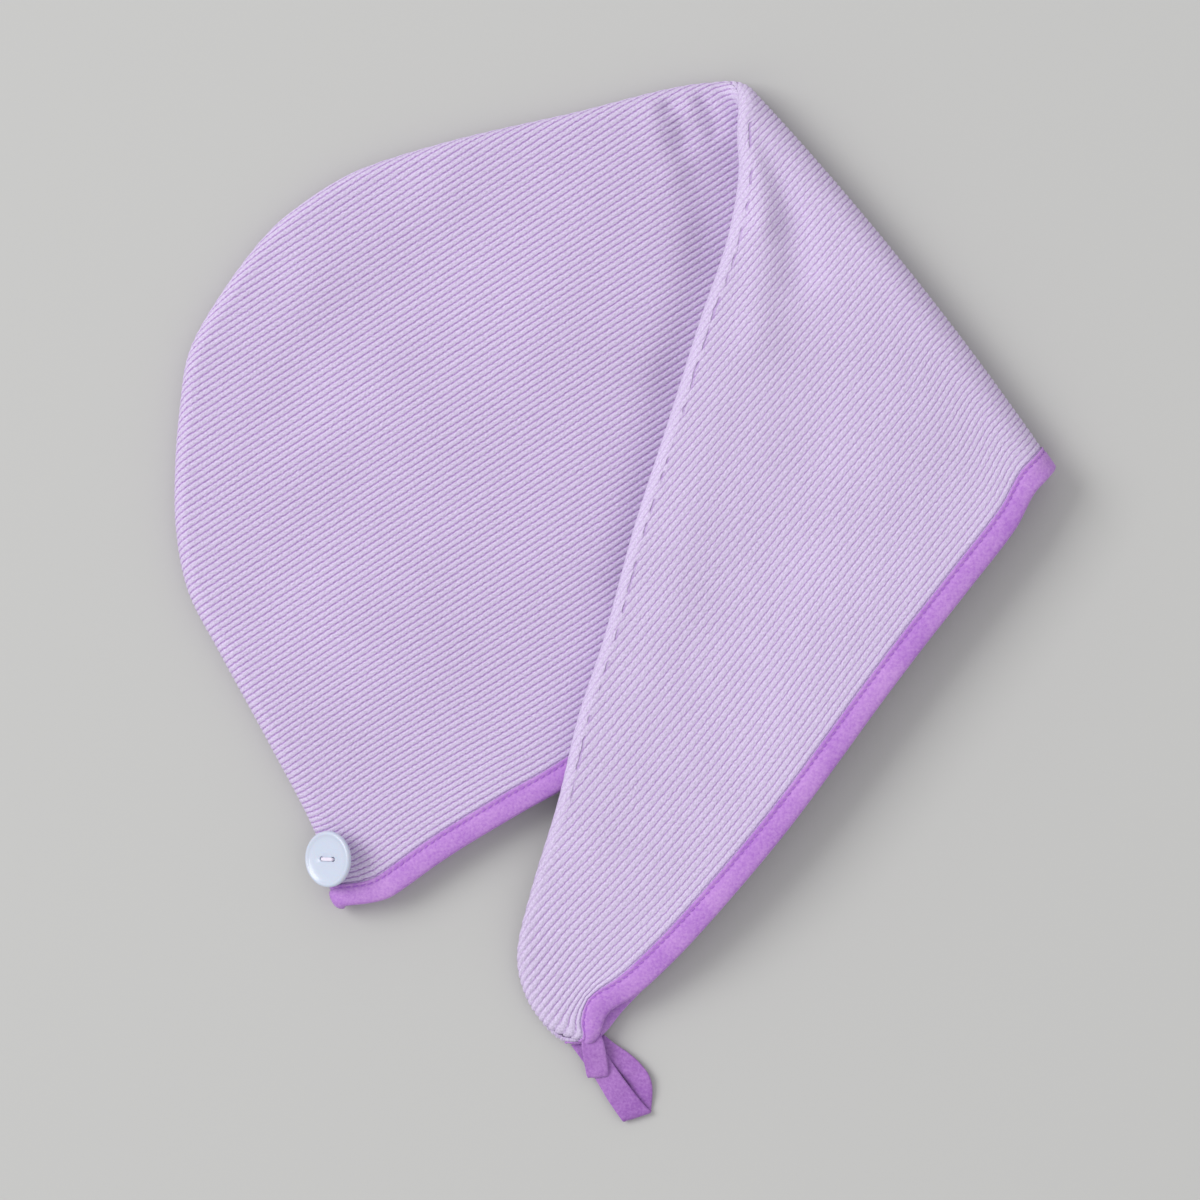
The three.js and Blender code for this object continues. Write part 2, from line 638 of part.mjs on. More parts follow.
// Origin at the middle of the underside of the whole towel
const box = new THREE.Box3().setFromObject(towel);
const centre = box.getCenter(new THREE.Vector3());
for (const mesh of towel.children) mesh.geometry.translate(-centre.x, -centre.y, -box.min.z);

export default towel;
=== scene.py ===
# %% [markdown]
# # A hair turban towel, laid flat
# Two ribbed cloth panels are sewn together along a curved seam and left open along one bound
# edge. The long tail is folded over to the front, a tape loop hangs at its tip and a button
# sits at the other corner. This lesson dresses the plain solids of the part with real ribs,
# soft tape, stitches and finishes. Everything is in metres, on the frame of the solids.

# %% The frame of the solids
import json
import math

import bpy
import numpy as np
from mathutils import Matrix, Vector
from mathutils.kdtree import KDTree

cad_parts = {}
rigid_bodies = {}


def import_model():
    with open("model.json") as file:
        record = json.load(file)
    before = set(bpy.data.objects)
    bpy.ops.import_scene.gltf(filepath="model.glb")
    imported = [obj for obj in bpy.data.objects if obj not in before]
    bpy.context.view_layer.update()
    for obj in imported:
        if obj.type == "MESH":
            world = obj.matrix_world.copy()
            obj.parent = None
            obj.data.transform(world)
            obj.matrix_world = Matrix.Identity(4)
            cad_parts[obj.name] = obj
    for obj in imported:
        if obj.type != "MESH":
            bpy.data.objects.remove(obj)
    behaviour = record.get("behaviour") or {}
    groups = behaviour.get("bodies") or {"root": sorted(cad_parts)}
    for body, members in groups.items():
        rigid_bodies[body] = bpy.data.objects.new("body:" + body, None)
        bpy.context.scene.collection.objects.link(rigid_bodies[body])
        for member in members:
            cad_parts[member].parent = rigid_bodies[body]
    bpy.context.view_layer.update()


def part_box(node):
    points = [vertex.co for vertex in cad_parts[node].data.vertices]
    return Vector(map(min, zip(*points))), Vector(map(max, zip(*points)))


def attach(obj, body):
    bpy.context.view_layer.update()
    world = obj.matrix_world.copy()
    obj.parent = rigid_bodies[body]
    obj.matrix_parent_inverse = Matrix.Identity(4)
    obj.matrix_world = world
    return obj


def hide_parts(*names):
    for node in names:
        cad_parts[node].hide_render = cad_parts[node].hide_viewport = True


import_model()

MM = 0.001

# %% [markdown]
# ## Camera, floor and light
# The towel was looked at from straight above, lying on a pale sheet under one very large
# soft light. A long lens two metres up keeps the flat outline true. The light is an area
# lamp as wide as the table, a little to the upper left, so the shadows fall short and soft
# to the lower right, and a grey world fills them.

# %% Camera
CAMERA_HEIGHT = 2.01
LENS = 150
camera_data = bpy.data.cameras.new("camera")
camera_data.lens = LENS
camera_data.sensor_width = 36
camera = bpy.data.objects.new("camera", camera_data)
camera.location = (-0.0058, 0.0004, CAMERA_HEIGHT)
bpy.context.scene.collection.objects.link(camera)
bpy.context.scene.camera = camera
print("view is", round(36 / LENS * (CAMERA_HEIGHT - 0.01), 3), "m wide")


# %% Colours and nodes
def hex_colour(code, alpha=1.0):
    """An sRGB hex value as linear red, green, blue and alpha."""
    parts = [int(code[k : k + 2], 16) / 255 for k in (1, 3, 5)]
    linear = [c / 12.92 if c <= 0.04045 else ((c + 0.055) / 1.055) ** 2.4 for c in parts]
    return (*linear, alpha)


def node(material, kind, inputs=None, **settings):
    """Adds one node with its settings. An input, named or numbered, is a value or an output."""
    tree = material.node_tree
    made = tree.nodes.new(kind)
    for name, value in settings.items():
        setattr(made, name, value)
    open_inputs = [s for s in made.inputs if s.enabled]
    for name, value in (inputs or {}).items():
        named = [s for k, s in enumerate(open_inputs) if name in (s.name, k)]
        if isinstance(value, bpy.types.NodeSocket):
            tree.links.new(value, named[0])
        else:
            named[0].default_value = value
    return made


def out(made, name=None):
    """The named output of a node, or its first one in use."""
    return [s for s in made.outputs if s.enabled and name in (None, s.name)][0]


def new_material(name):
    material = bpy.data.materials.new(name)
    material.use_nodes = True
    material.node_tree.nodes.clear()
    return material


def deselect():
    for thing in bpy.context.view_layer.objects:
        thing.select_set(False)


deselect()

# %% Floor
FLOOR_DROP = 0.0002
bpy.ops.mesh.primitive_plane_add(size=6, location=(0, 0, -FLOOR_DROP))
floor = bpy.context.object
floor.name = "floor"
bpy.ops.object.transform_apply(location=True, rotation=True, scale=True)
paper = new_material("matt_card")
paper_shader = node(
    paper,
    "ShaderNodeBsdfPrincipled",
    {"Base Color": hex_colour("#bebebd"), "Roughness": 0.85, "Specular IOR Level": 0.2},
)
node(paper, "ShaderNodeOutputMaterial", {"Surface": out(paper_shader)})
floor.data.materials.append(paper)

# %% Light
lamp_data = bpy.data.lights.new("softbox", "AREA")
lamp_data.shape = "RECTANGLE"
lamp_data.size = 3.6
lamp_data.size_y = 3.0
lamp_data.energy = 206
lamp_data.color = (1.0, 0.995, 0.99)
lamp = bpy.data.objects.new("softbox", lamp_data)
lamp.location = (-4.1, 1.6, 3.9)
lamp.rotation_mode = "QUATERNION"
lamp.rotation_quaternion = (Vector((0, 0, 0)) - lamp.location).to_track_quat("-Z", "Y")
bpy.context.scene.collection.objects.link(lamp)

world = bpy.data.worlds.new("studio")
bpy.context.scene.world = world
world.use_nodes = True
world.node_tree.nodes["Background"].inputs["Color"].default_value = (1, 1, 1, 1)
world.node_tree.nodes["Background"].inputs["Strength"].default_value = 0.74
bpy.context.scene.view_settings.view_transform = "Standard"
print("light and floor are in place")

# %% [markdown]
# ## The cut of the cloth
# A maker draws one panel flat: the seam runs from the button corner over the crown to the
# tip, and the opening edge runs back underneath. The drawing is kept as two short tables in
# shares of three sizes, the same ones that the solids use. "run" counts across the fold,
# negative in the cap and positive in the tail, and "up" counts along the fold.

# %% Named sizes
CAP_RUN = 322 * MM
TAIL_RUN = 288 * MM
CROWN_RISE = 274 * MM
FOLD_ANGLE = math.radians(128.9)
FOLD_BOW = 4.4 * MM
ROLL_RADIUS = 6.5 * MM
HALF_CAP = 6.2 * MM
CLOTH = 1.6 * MM
PANEL = 2.2 * MM
TAPE_LAP = 9 * MM
TAPE_HALF = 1.8 * MM
TAPE_ZONE = 42 * MM
STRIP = math.pi * ROLL_RADIUS

# %% Tables of the cut
SEAM = [
    (-0.997, 0.170), (-0.966, 0.273), (-0.941, 0.417), (-0.918, 0.565), (-0.901, 0.661),
    (-0.866, 0.740), (-0.820, 0.810), (-0.769, 0.874), (-0.713, 0.933), (-0.634, 0.971),
    (-0.543, 0.997), (-0.485, 0.999), (-0.415, 0.988), (-0.302, 0.938), (-0.156, 0.855),
    (-0.003, 0.767), (0.016, 0.683), (0.059, 0.628), (0.127, 0.567), (0.230, 0.497),
    (0.354, 0.408), (0.467, 0.328), (0.598, 0.227), (0.693, 0.162), (0.788, 0.085),
    (0.898, 0.006), (0.965, -0.050), (0.988, -0.087), (1.000, -0.133), (0.995, -0.194),
    (0.970, -0.216), (0.947, -0.231),
]  # fmt: skip
OPENING = [
    (-0.985, 0.154), (-0.937, 0.131), (-0.867, 0.126), (-0.744, 0.107), (-0.695, 0.097),
    (0.000, 0.004), (0.060, -0.021), (0.160, -0.046), (0.268, -0.072), (0.366, -0.098),
    (0.464, -0.126), (0.565, -0.153), (0.671, -0.176), (0.782, -0.196), (0.901, -0.211),
    (0.934, -0.219),
]  # fmt: skip
# run, half thickness of the pair and how far its mouth gapes, in shares of HALF_CAP
LAID = [
    (-1.00, 0.80, 0.00), (-0.85, 0.93, 0.02), (-0.70, 0.94, 0.00), (-0.50, 0.85, 0.00),
    (-0.20, 0.79, 0.00), (0.00, 0.71, 0.00), (0.08, 0.71, 0.02), (0.22, 0.78, 0.14),
    (0.68, 0.78, 0.14), (0.85, 0.62, 0.04), (1.00, 0.47, 0.00),
]  # fmt: skip
# run, height of the tail's middle at its opening edge and at its seam, in shares of the fold's
TAIL_HEIGHT = [
    (0.00, 1.00, 1.00), (0.15, 1.03, 1.01), (0.36, 1.05, 1.03), (0.58, 1.02, 1.06),
    (0.76, 0.80, 1.09), (0.88, 0.46, 0.66), (1.00, 0.20, 0.22),
]  # fmt: skip


def ease(x):
    x = np.clip(x, 0, 1)
    return x * x * (3 - 2 * x)


def read_table(xs, ys, x):
    """A smooth curve through the rows of a table, without overshoot."""
    xs, ys, x = np.asarray(xs, float), np.asarray(ys, float), np.asarray(x, float)
    steps = np.diff(ys) / np.diff(xs)
    before, after = steps[:-1], steps[1:]
    same = before * after > 0
    inner = np.where(same, 2 * before * after / np.where(same, before + after, 1), 0)
    slopes = np.concatenate([[steps[0]], inner, [steps[-1]]])
    i = np.clip(np.searchsorted(xs, x) - 1, 0, len(xs) - 2)
    h = xs[i + 1] - xs[i]
    t = np.clip((x - xs[i]) / h, 0, 1)
    smooth = (
        (1 + 2 * t) * (1 - t) ** 2 * ys[i]
        + t * (1 - t) ** 2 * h * slopes[i]
        + t * t * (3 - 2 * t) * ys[i + 1]
        + t * t * (t - 1) * h * slopes[i + 1]
    )
    return smooth + np.minimum(x - xs[0], 0) * steps[0] + np.maximum(x - xs[-1], 0) * steps[-1]


def column(table, k):
    return [row[k] for row in table]


def run_at(share):
    return share * CAP_RUN if share < 0 else STRIP + share * TAIL_RUN


def share_at(run):
    return np.where(run <= 0, run / CAP_RUN, np.maximum(0, run - STRIP) / TAIL_RUN)


opening_runs = [run_at(s) for s in column(OPENING, 0)]
opening_ups = [s * CROWN_RISE for s in column(OPENING, 1)]


def opening_up(run):
    return read_table(opening_runs, opening_ups, run)


def half_at(run):
    return HALF_CAP * read_table(column(LAID, 0), column(LAID, 1), share_at(run))


print("opened panel is", round((CAP_RUN + STRIP + TAIL_RUN) * 1000), "mm long")

# %% [markdown]
# ## The seam
# Where the two panels meet, the cloth turns over in a soft quarter round, so the drawn
# outline is set out by the extra cloth that the rounding takes. A chain of dots every half
# millimetre and a search tree then tell any point of the cloth how far it is from the seam.


# %% Seam dots
def smooth_line(points, per_piece=60):
    """Points along a smooth curve through the given ones."""
    p = [np.array(q, float) for q in points]
    p = [2 * p[0] - p[1], *p, 2 * p[-1] - p[-2]]
    line = []
    for a, b, c, d in zip(p, p[1:], p[2:], p[3:]):
        d0, d1, d2 = (max(1e-6, np.linalg.norm(v) ** 0.5) for v in (b - a, c - b, d - c))
        m1 = ((b - a) / d0 - (c - a) / (d0 + d1) + (c - b) / d1) * d1
        m2 = ((c - b) / d1 - (d - b) / (d1 + d2) + (d - c) / d2) * d1
        t = np.linspace(0, 1, per_piece, endpoint=False)[:, None]
        line.append(
            b + m1 * t + (3 * (c - b) - 2 * m1 - m2) * t**2 + (2 * (b - c) + m1 + m2) * t**3
        )
    return np.vstack([*line, p[-2][None]])


def even_steps(line, step):
    """The same line, cut into even steps."""
    far = np.concatenate([[0], np.cumsum(np.linalg.norm(np.diff(line, axis=0), axis=1))])
    at = np.linspace(0, far[-1], int(round(far[-1] / step)) + 1)
    return np.stack([np.interp(at, far, line[:, k]) for k in range(line.shape[1])], axis=1)


SEAM_STEP = 0.5 * MM
seam = even_steps(smooth_line([(run_at(r), u * CROWN_RISE) for r, u in SEAM]), SEAM_STEP)
forward = np.gradient(seam, axis=0)
forward /= np.linalg.norm(forward, axis=1)[:, None]
inward = np.stack([forward[:, 1], -forward[:, 0]], axis=1)
seam_share = np.linspace(0, 1, len(seam))
near_button, near_tip = ease(1 - seam_share / 0.02), ease(1 - (1 - seam_share) / 0.02)
inward = (
    inward * (1 - near_button - near_tip)[:, None]
    + near_button[:, None] * (0.8, -0.6)
    + near_tip[:, None] * (-0.77, 0.64)
)
inward /= np.linalg.norm(inward, axis=1)[:, None]

QUARTER = math.pi / 2
SEAM_ROOM = 0.1 * MM
rim = half_at(seam[:, 0] + inward[:, 0] * 4 * MM) - SEAM_ROOM
outline = seam - inward * (rim * (QUARTER - 1))[:, None]
extra = 16 * MM * np.linspace(1, 0, 33)[:-1, None]
outline = np.vstack(
    [
        outline[0] - forward[0] * extra,
        outline,
        outline[-1] + forward[-1] * extra[::-1],
    ]
)
pad = lambda a: np.concatenate([np.repeat(a[:1], 32, 0), a, np.repeat(a[-1:], 32, 0)])
outline_inward, outline_rim = pad(inward), pad(rim)
outline_far = np.concatenate(
    [[0], np.cumsum(np.linalg.norm(np.diff(outline, axis=0), axis=1))]
)

tree = KDTree(len(outline))
for k, (x, y) in enumerate(outline):
    tree.insert((x, y, 0), k)
tree.balance()


def seam_near(run, up):
    """Distance from the cut outline, the way in, the rounding radius and the place along it."""
    p = np.stack([run.ravel(), up.ravel()], axis=1)
    k = np.array([tree.find((x, y, 0))[1] for x, y in p])
    k = np.clip(k, 1, len(outline) - 2)
    chord = outline[k + 1] - outline[k - 1]
    chord /= np.linalg.norm(chord, axis=1)[:, None]
    off = p - outline[k]
    along = (off * chord).sum(1)
    away = off[:, 0] * chord[:, 1] - off[:, 1] * chord[:, 0]
    shape = run.shape
    return (
        away.reshape(shape),
        outline_inward[k].reshape(*shape, 2),
        outline_rim[k].reshape(shape),
        (outline_far[k] + along).reshape(shape),
    )


print("seam is", round(len(seam) * SEAM_STEP, 3), "m long")

# %% [markdown]
# ## Laying the cut cloth on the table
# One function does what the hands do: it lays a point of the opened panel on the table. The
# cap lies flat, the cloth turns over a thin roll at the fold, and the tail comes back on top.
# The cloth could also be dropped as a simulation, but then the fold would never land just
# where the real one lies. "lift" is the distance from the outer face of the cloth.

# %% Laying function
along_fold = np.array([math.cos(FOLD_ANGLE), math.sin(FOLD_ANGLE), 0])
out_of_fold = np.array([math.sin(FOLD_ANGLE), -math.cos(FOLD_ANGLE), 0])
upright = np.array([0, 0, 1.0])
half_fold = float(half_at(np.array(0.0)))
fold_top = half_fold + 2 * ROLL_RADIUS
fold_length = seam[seam[:, 0] < 0][-1, 1]
TABLE_ROOM = TAPE_HALF - PANEL / 2 + 0.1 * MM


def laid(run, up, distance):
    """Middle of the cloth pair, and the direction across it."""
    bow = np.maximum(0, FOLD_BOW * 4 * (up / fold_length) * (1 - up / fold_length))
    near_fold = ease(1 - np.abs(run - STRIP / 2) / (CAP_RUN * 0.6))
    level = up - opening_up(run)
    rise = TABLE_ROOM * ease(1 - level / TAPE_ZONE)
    g = -ROLL_RADIUS - half_fold + bow * near_fold
    gape = HALF_CAP * read_table(column(LAID, 0), column(LAID, 2), share_at(run))
    gape = gape * ease(1 - level / (45 * MM)) * ease(distance / (30 * MM))
    half = half_at(run) + gape
    turn = np.clip(run / ROLL_RADIUS, 0, math.pi)
    g = g + np.minimum(run, 0) + ROLL_RADIUS * np.sin(turn) - np.maximum(run - STRIP, 0)
    share = share_at(run)
    v = np.maximum(0, level)
    across = ease(v / (v + np.maximum(distance, 0) + 0.01 * MM))
    low = read_table(column(TAIL_HEIGHT, 0), column(TAIL_HEIGHT, 1), share)
    high = read_table(column(TAIL_HEIGHT, 0), column(TAIL_HEIGHT, 2), share)
    tail_z = fold_top * (low + (high - low) * across) + rise * ease(1 - share * 4)
    roll_z = half_fold + rise + ROLL_RADIUS * (1 - np.cos(turn))
    z = np.where(run <= 0, half + rise, np.where(run < STRIP, roll_z, tail_z))
    middle = up[..., None] * along_fold + g[..., None] * out_of_fold + z[..., None] * upright
    normal = np.cos(turn)[..., None] * upright - np.sin(turn)[..., None] * out_of_fold
    return middle, normal, half, turn


def cloth_point(side, run, up, lift):
    """A point of the upper (1) or lower (-1) panel in the laid towel, before it is centred."""
    run, up, lift = np.broadcast_arrays(
        np.asarray(run, float), np.asarray(up, float), np.asarray(lift, float)
    )
    distance, way_in, radius, _ = seam_near(run, up)
    curled = np.clip(distance / radius, 0, QUARTER)
    sunk = radius * (1 - np.cos(curled)) - curled * radius + radius * (QUARTER - 1)
    shift = sunk - lift * np.cos(curled)
    shift = np.where(distance < radius * QUARTER, shift, 0)
    plan_run, plan_up = run + way_in[..., 0] * shift, up + way_in[..., 1] * shift
    inside = distance - radius * (QUARTER - 1)
    middle, normal, half, _ = laid(plan_run, plan_up, inside)
    flat = half + lift
    curved = SEAM_ROOM + (radius + lift) * np.sin(curled)
    height = np.where(distance < radius * QUARTER, np.minimum(curved, flat), flat)
    return middle + (side * height)[..., None] * normal


# %% Centre of the frame
rim_line = cloth_point(1, outline[32:-32, 0], outline[32:-32, 1], 0)
cap_low, cap_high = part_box("panel_lower")
CENTRE = np.array([cap_low.x - rim_line[:, 0].min(), cap_high.y - rim_line[:, 1].max(), 0])
print("fold meets the opening at", np.round(CENTRE, 4))

# %% [markdown]
# ## Lines of the ribs
# The knit is ribbed from edge to edge. Beside the tape the ribs follow the opening edge, and
# higher up they run straight, at slightly different slopes in the cap and the tail. A row of
# the mesh is one line along a rib, so every rib is a real ridge with a narrow groove.

# %% Rib lines
RIB = 2.4 * MM
CAP_SLOPE = -0.0945
TAIL_SLOPE = -0.187
EDGE_ZONE = 120 * MM


def straight_up(run):
    """Where a straight rib through the foot of the fold lies."""
    roll = np.clip(run, 0, STRIP)
    turning = CAP_SLOPE * roll + (TAIL_SLOPE - CAP_SLOPE) * roll**2 / (2 * STRIP)
    return (
        float(opening_up(0.0))
        + CAP_SLOPE * np.minimum(run, 0)
        + turning
        + TAIL_SLOPE * np.maximum(run - STRIP, 0)
    )


def rib_up(run, rib):
    follow = ease(1 - rib / EDGE_ZONE)
    return rib + opening_up(run) * follow + straight_up(run) * (1 - follow)


def rib_of(run, up):
    rib = up - opening_up(run)
    for _ in range(30):
        rib = rib + 0.7 * (up - rib_up(run, rib))
    return rib


outline_rib = rib_of(outline[:, 0], outline[:, 1])
crown = int(np.argmax(outline_rib))
CROWN_RIB = outline_rib[crown]
rising = np.maximum.accumulate(outline_rib[: crown + 1])
falling = np.maximum.accumulate(outline_rib[crown:][::-1])


def row_ends(rib):
    """Both ends of a rib line on the cut outline, as runs."""
    first = np.interp(rib, rising + np.arange(len(rising)) * 1e-9, outline[: crown + 1, 0])
    last = np.interp(rib, falling + np.arange(len(falling)) * 1e-9, outline[crown:][::-1, 0])
    return first, last


print("ribs up to the crown:", round(CROWN_RIB / RIB, 1))

# %% [markdown]
# ## Soft folds
# Laid cloth is never flat. Each fold is a short line with a width and a height: the crease
# that fans out from the top of the fold, the ridge and the valley down the tail, the dents
# in the cap. They are pressed into the cloth like strokes of a sculpting brush.

# %% Folds table
# x, y of both ends in mm on the frame, width in mm, height in mm
CAP_FOLDS = [
    (22, 197, 28, 183, 3.6, -2.0), (28, 183, 38, 150, 8, -2.4), (15, 196, 24, 172, 5, 1.5),
    (36, 201, 40, 188, 3, -2.2), (30, 200, 34, 186, 4, 1.3), (47, 174, 43, 140, 11, -4.2),
    (40, 140, 26, 90, 10, -2.8), (26, 90, 6, 10, 9, -2.2),
    (-70, 168, 20, 192, 16, 0.8), (-120, 130, -70, 166, 15, 0.9), (-158, 60, -125, 125, 14, 0.9),
    (-130, 100, -60, 150, 22, -0.9), (-90, -64, -78, -48, 16, -0.9), (-30, 40, 0, 150, 28, 0.9),
    (-110, -20, -95, 60, 26, 0.6), (-60, -40, -40, 30, 24, -0.6),
]  # fmt: skip
TAIL_FOLDS = [
    (56, 200, 59, 150, 6, 2.8), (59, 150, 57, 105, 8, 1.8), (67, 190, 74, 130, 7, -3.0),
    (74, 130, 78, 60, 14, -0.9), (50, 120, 22, 0, 12, 0.7), (22, 0, -12, -110, 12, 0.6),
    (60, 20, 40, -60, 22, -0.7), (110, 60, 70, -20, 22, 0.6), (30, -70, 0, -130, 16, 0.5),
]  # fmt: skip
DEEPEST = 4.8 * MM  # the hollow of the cap is about this deep beside the tail


def pressed(place, folds):
    """How far the folds lift or press a point, from its x and y."""
    lifted = np.zeros(place.shape[:-1])
    for x0, y0, x1, y1, width, height in folds:
        start, span = np.array([x0, y0]) * MM, np.array([x1 - x0, y1 - y0]) * MM
        t = np.clip(((place[..., :2] - start) @ span) / (span @ span), 0, 1)
        away = np.linalg.norm(place[..., :2] - start - t[..., None] * span, axis=-1)
        lifted += height * MM * np.exp(-((away / (width * MM)) ** 2))
    # where strokes cross, the press is held back short of the layer under it
    return np.where(lifted < 0, DEEPEST * np.tanh(lifted / DEEPEST), lifted)


# %% [markdown]
# ## The cloth panels
# Each panel starts as a grid with four rows to a rib: the groove, its two shoulders and the
# crest. Its points are laid rib by rib, closer together over the roll and round the seam,
# and Solidify gives the cloth its thickness. The finish reads two things from the cloth: the
# place along and across the ribs, and the distance from the seam.

# %% Pulled corners
# which panel (0 for both), x, y of the middle, reach and the pull along x, y and z, in mm
CORNER_PULLS = [
    (-1, -2.0, -163.5, 9.5, -5.6, 1.6, 1.2), (-1, -19.0, -176.0, 6.5, 5.6, 0.8, 0.6),
    (0, -110.5, -120.5, 7.0, -2.6, 1.9, 0.0),
]  # fmt: skip


def pulled(place, side):
    """The tip swings aside and gathers into the loop; the button corner is drawn outwards."""
    moved = np.zeros_like(place)
    for which, x, y, reach, *pull in CORNER_PULLS:
        away = np.linalg.norm(place[..., :2] - np.array([x, y]) * MM, axis=-1)
        if which in (0, side):
            moved += np.exp(-((away / (reach * MM)) ** 2))[..., None] * np.array(pull) * MM
    return place + moved


# %% Rows and columns
RIB_ROWS = [(0.0, -0.40), (0.17, -0.06), (0.50, 0.08), (0.83, -0.06)]  # share of a rib, lift mm
COLUMNS = 104


def rib_rows():
    ribs, lifts = [], []
    for k in range(int(CROWN_RIB / RIB) + 1):
        for share, lift in RIB_ROWS:
            if (k + share) * RIB < CROWN_RIB - 0.1 * MM:
                ribs.append((k + share) * RIB)
                lifts.append(lift * MM)
    return np.array(ribs), np.array(lifts)


def row_runs(rib, side):
    """Runs of the points on one row, close together where the cloth bends."""
    first, last = row_ends(rib)
    run = np.linspace(first, last, 420)
    distance = seam_near(run, rib_up(run, rib))[0]
    seen = (run < 0) if side > 0 else (run > STRIP)
    weight = np.where(seen, 1 / 4.6, 1 / 11.0)
    weight = weight + ease(1 - np.abs(run - STRIP / 2) / (STRIP * 1.1)) / 1.6
    bend = np.abs(np.gradient(distance, run)) * ease((14 * MM - distance) / (6 * MM)) / 1.3
    weight = weight + bend
    filled = np.concatenate([[0], np.cumsum((weight[1:] + weight[:-1]) / 2)])
    return np.interp(np.linspace(0, filled[-1], COLUMNS), filled, run)


def make_panel(name, side):
    ribs, lifts = rib_rows()
    rows = len(ribs)
    run = np.stack([row_runs(rib, side) for rib in ribs])
    rib = np.repeat(ribs[:, None], COLUMNS, 1)
    up = rib_up(run, rib)
    distance, _, radius, along = seam_near(run, up)
    tail_share = ease((run - STRIP * 0.4) / (STRIP * 0.5))
    lift = np.repeat(lifts[:, None], COLUMNS, 1) * (1 - 0.30 * tail_share)
    tip = ease((share_at(run) - 0.80) / 0.16)
    lift = lift * (1 + 0.9 * tip)
    pressed_flat = ease((9 * MM - distance) / (5 * MM)) * tail_share * (1 - tip)
    lift = lift * (1 - 0.75 * pressed_flat)
    under_tape = ease((TAPE_LAP + 0.9 * MM - rib) / (0.9 * MM))
    lift = lift * (1 - under_tape) - 0.4 * MM * under_tape
    place = cloth_point(side, run, up, lift) + CENTRE
    free = ease(distance / (9 * MM)) * ease((rib - 8 * MM) / (20 * MM))
    on_top = run < -1 * MM if side > 0 else run > STRIP + 1 * MM
    folds = pressed(place, CAP_FOLDS if side > 0 else TAIL_FOLDS)
    fade = ease(np.abs(run - STRIP / 2) / (12 * MM) - STRIP / 2 / (12 * MM))
    place[..., 2] += np.where(on_top, folds, 0) * np.clip(free, 0, 1) * fade
    place = pulled(place, side)

    deselect()
    bpy.ops.mesh.primitive_grid_add(x_subdivisions=COLUMNS - 1, y_subdivisions=rows - 1, size=1)
    panel = bpy.context.object
    panel.name = panel.data.name = name
    panel.data.vertices.foreach_set("co", place.reshape(-1, 3).astype(np.float32).ravel())
    cloth = panel.data.attributes.new("cloth", "FLOAT_VECTOR", "POINT")
    cloth.data.foreach_set("vector", np.stack([run, rib, lift], -1).astype(np.float32).ravel())
    edge = panel.data.attributes.new("edge", "FLOAT_VECTOR", "POINT")
    edge.data.foreach_set(
        "vector", np.stack([distance, along, radius], -1).astype(np.float32).ravel()
    )
    if side < 0:
        bpy.ops.object.mode_set(mode="EDIT")
        bpy.ops.mesh.select_all(action="SELECT")
        bpy.ops.mesh.flip_normals()
        bpy.ops.object.mode_set(mode="OBJECT")
    thick = panel.modifiers.new("thickness", "SOLIDIFY")
    thick.thickness = CLOTH
    thick.offset = -1
    thick.use_even_offset = False
    bpy.ops.object.modifier_apply(modifier=thick.name)
    bpy.ops.object.shade_smooth()
    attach(panel, "root")
    print(name, rows, "rows,", sum(len(p.vertices) - 2 for p in panel.data.polygons), "triangles")
    return panel


panel_upper = make_panel("cloth_upper", 1)
panel_lower = make_panel("cloth_lower", -1)
for panel, solid in ((panel_upper, "panel_upper"), (panel_lower, "panel_lower")):
    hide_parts(solid)

# %% [markdown]
# ## Ribbed microfibre towelling
# The cloth is a knitted microfibre pile in lilac. Millions of fine fibre ends make it look
# soft: the ribs are painted pale and milky as painted sheen, the grooves deeper violet as
# painted shade. Sheen gives the milky edge and small beads along each rib give the pile.
# Beside the seam of the tail the ribs are pressed flat, with faint broken needle marks.

# %% Cloth finish
def maths(material, operation, *values):
    """One sum in a pattern."""
    return out(node(material, "ShaderNodeMath", dict(enumerate(values)), operation=operation))


towelling = new_material("microfibre_towelling")
cloth_place = node(towelling, "ShaderNodeAttribute", attribute_name="cloth")
edge_place = node(towelling, "ShaderNodeAttribute", attribute_name="edge")
cloth_parts = node(towelling, "ShaderNodeSeparateXYZ", {"Vector": out(cloth_place, "Vector")})
edge_parts = node(towelling, "ShaderNodeSeparateXYZ", {"Vector": out(edge_place, "Vector")})

# painted shade: dark in the groove of each rib; painted sheen: light over the rest of it
wander_place = node(
    towelling,
    "ShaderNodeMapping",
    {"Vector": out(cloth_place, "Vector"), "Rotation": (0, 0, -0.5), "Scale": (620, 260, 1)},
)
wander = node(
    towelling, "ShaderNodeTexNoise", {"Vector": out(wander_place), "Scale": 1.0, "Detail": 1.0}
)
rib_count = maths(towelling, "DIVIDE", out(cloth_parts, "Y"), RIB)
rib_wander = maths(towelling, "MULTIPLY_ADD", out(wander), 0.34, -0.17)
rib_phase = maths(towelling, "PINGPONG", maths(towelling, "ADD", rib_count, rib_wander), 0.5)
on_tail = maths(towelling, "GREATER_THAN", out(cloth_parts, "X"), STRIP / 2)
# on the tail the band of painted groove shade is narrower, so the tail is painted lighter
crest = node(
    towelling,
    "ShaderNodeMapRange",
    {
        "Value": rib_phase,
        "From Min": maths(towelling, "MULTIPLY_ADD", on_tail, -0.03, 0.02),
        "From Max": maths(towelling, "MULTIPLY_ADD", on_tail, -0.05, 0.22),
    },
    interpolation_type="SMOOTHSTEP",
)
